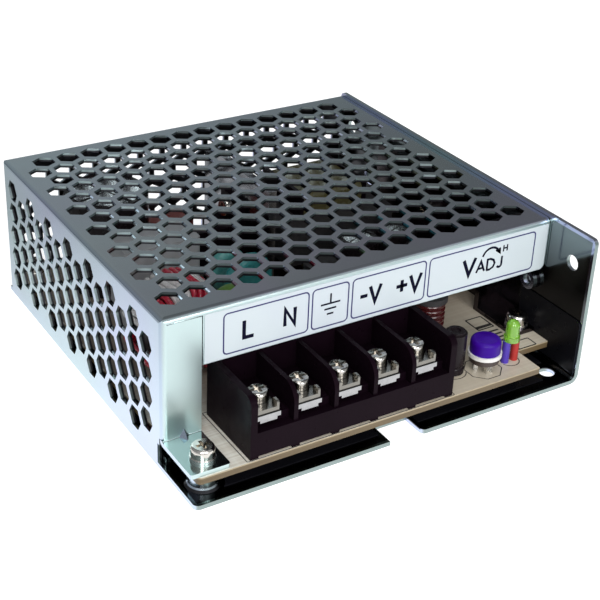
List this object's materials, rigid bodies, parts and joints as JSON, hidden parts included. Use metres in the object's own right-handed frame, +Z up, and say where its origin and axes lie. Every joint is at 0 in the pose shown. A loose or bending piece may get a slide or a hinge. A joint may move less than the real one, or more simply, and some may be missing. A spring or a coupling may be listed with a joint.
{
  "type": "enclosed switching power supply",
  "caption": "Enclosed power supply: hexagonal-mesh steel cover on a folded chassis, open circuit board, screw terminal block, adjuster knob and lamp.",
  "frame": {"origin": "centre of the footprint, on the flat base", "axes": "+X to the solid side wall, -Y to the terminals, +Z up"},
  "size_m": [0.097, 0.099, 0.036],
  "materials": {
    "zinc_sheet": "bright zinc plating",
    "label_film": "satin",
    "black_film": "satin",
    "board": "satin laminate",
    "nickel": "bright nickel",
    "black_moulding": "satin",
    "tin": "tinned",
    "brown_moulding": "satin",
    "white_moulding": "satin",
    "knob_blue": "satin",
    "lamp_green": "clear tinted",
    "sleeve_blue": "satin",
    "sleeve_red": "satin",
    "fuse_glass": "clear",
    "coat_green": "dipped",
    "coat_teal": "dipped",
    "grey_case": "satin",
    "ferrite": "sintered",
    "winding_red": "enamel",
    "can_black": "sleeved",
    "sink_alu": "rolled",
    "tape_yellow": "tape",
    "body_brown": "lacquered",
    "coat_maroon": "dipped"
  },
  "bodies": {
    "unit": {"chassis": "zinc_sheet", "mesh_cover": "zinc_sheet", "front_label": "label_film", "insulating_film": "black_film", "circuit_board": "board", "board_screws": "nickel", "board_washers": "nickel", "terminal_housing": "black_moulding", "terminal_plates": "tin", "trimmer_base": "brown_moulding", "trimmer_legs": "tin", "power_lamp": "lamp_green", "lamp_sleeve_blue": "sleeve_blue", "lamp_sleeve_red": "sleeve_red", "fuse_tube": "fuse_glass", "fuse_clips": "tin", "inrush_thermistor": "coat_green", "surge_varistor": "coat_teal", "safety_capacitors": "coat_teal", "line_capacitor": "grey_case", "line_choke_core": "ferrite", "line_choke_winding": "winding_red", "bridge_rectifier": "black_moulding", "bulk_capacitor": "can_black", "primary_heatsink": "sink_alu", "switching_transistor": "black_moulding", "transformer_core": "ferrite", "transformer_bobbin": "black_moulding", "transformer_winding": "tape_yellow", "output_heatsink": "sink_alu", "output_rectifier": "black_moulding", "rectifier_screws": "nickel", "output_capacitors": "can_black", "output_choke_core": "ferrite", "output_choke_winding": "winding_red", "filter_choke_core": "ferrite", "filter_choke_winding": "winding_red", "control_capacitor": "can_black", "optocoupler": "white_moulding", "control_chip": "black_moulding", "resistors": "body_brown", "snubber_capacitor": "coat_maroon"},
    "adjuster": {"trimmer_rotor": "white_moulding", "trimmer_knob": "knob_blue"},
    "clamp_1": {"clamp_washer_1": "nickel"},
    "screw_1": {"terminal_screw_1": "nickel"},
    "clamp_2": {"clamp_washer_2": "nickel"},
    "screw_2": {"terminal_screw_2": "nickel"},
    "clamp_3": {"clamp_washer_3": "nickel"},
    "screw_3": {"terminal_screw_3": "nickel"},
    "clamp_4": {"clamp_washer_4": "nickel"},
    "screw_4": {"terminal_screw_4": "nickel"},
    "clamp_5": {"clamp_washer_5": "nickel"},
    "screw_5": {"terminal_screw_5": "nickel"}
  },
  "joints": [
    {"name": "adjuster_turn", "type": "hinge", "parent": "unit", "child": "adjuster", "pos_m": [0.0265, -0.0424, 0.012], "axis": [0, 0, 1], "range_deg": [-130, 130]},
    {"name": "clamp_lift_1", "type": "slide", "parent": "unit", "child": "clamp_1", "axis": [0, 0, 1], "range_m": [0, 0.0024]},
    {"name": "screw_turn_1", "type": "hinge", "parent": "clamp_1", "child": "screw_1", "pos_m": [-0.0307, -0.0418, 0.016], "axis": [0, 0, 1], "range_deg": [0, 1440]},
    {"name": "clamp_lift_2", "type": "slide", "parent": "unit", "child": "clamp_2", "axis": [0, 0, 1], "range_m": [0, 0.0024]},
    {"name": "screw_turn_2", "type": "hinge", "parent": "clamp_2", "child": "screw_2", "pos_m": [-0.0212, -0.0418, 0.016], "axis": [0, 0, 1], "range_deg": [0, 1440]},
    {"name": "clamp_lift_3", "type": "slide", "parent": "unit", "child": "clamp_3", "axis": [0, 0, 1], "range_m": [0, 0.0024]},
    {"name": "screw_turn_3", "type": "hinge", "parent": "clamp_3", "child": "screw_3", "pos_m": [-0.0117, -0.0418, 0.016], "axis": [0, 0, 1], "range_deg": [0, 1440]},
    {"name": "clamp_lift_4", "type": "slide", "parent": "unit", "child": "clamp_4", "axis": [0, 0, 1], "range_m": [0, 0.0024]},
    {"name": "screw_turn_4", "type": "hinge", "parent": "clamp_4", "child": "screw_4", "pos_m": [-0.0022, -0.0418, 0.016], "axis": [0, 0, 1], "range_deg": [0, 1440]},
    {"name": "clamp_lift_5", "type": "slide", "parent": "unit", "child": "clamp_5", "axis": [0, 0, 1], "range_m": [0, 0.0024]},
    {"name": "screw_turn_5", "type": "hinge", "parent": "clamp_5", "child": "screw_5", "pos_m": [0.0073, -0.0418, 0.016], "axis": [0, 0, 1], "range_deg": [0, 1440]}
  ],
  "couplings": [
    {"joint": "screw_turn_1", "follows": "clamp_lift_1", "rad_per_m": 10472},
    {"joint": "screw_turn_2", "follows": "clamp_lift_2", "rad_per_m": 10472},
    {"joint": "screw_turn_3", "follows": "clamp_lift_3", "rad_per_m": 10472},
    {"joint": "screw_turn_4", "follows": "clamp_lift_4", "rad_per_m": 10472},
    {"joint": "screw_turn_5", "follows": "clamp_lift_5", "rad_per_m": 10472}
  ]
}
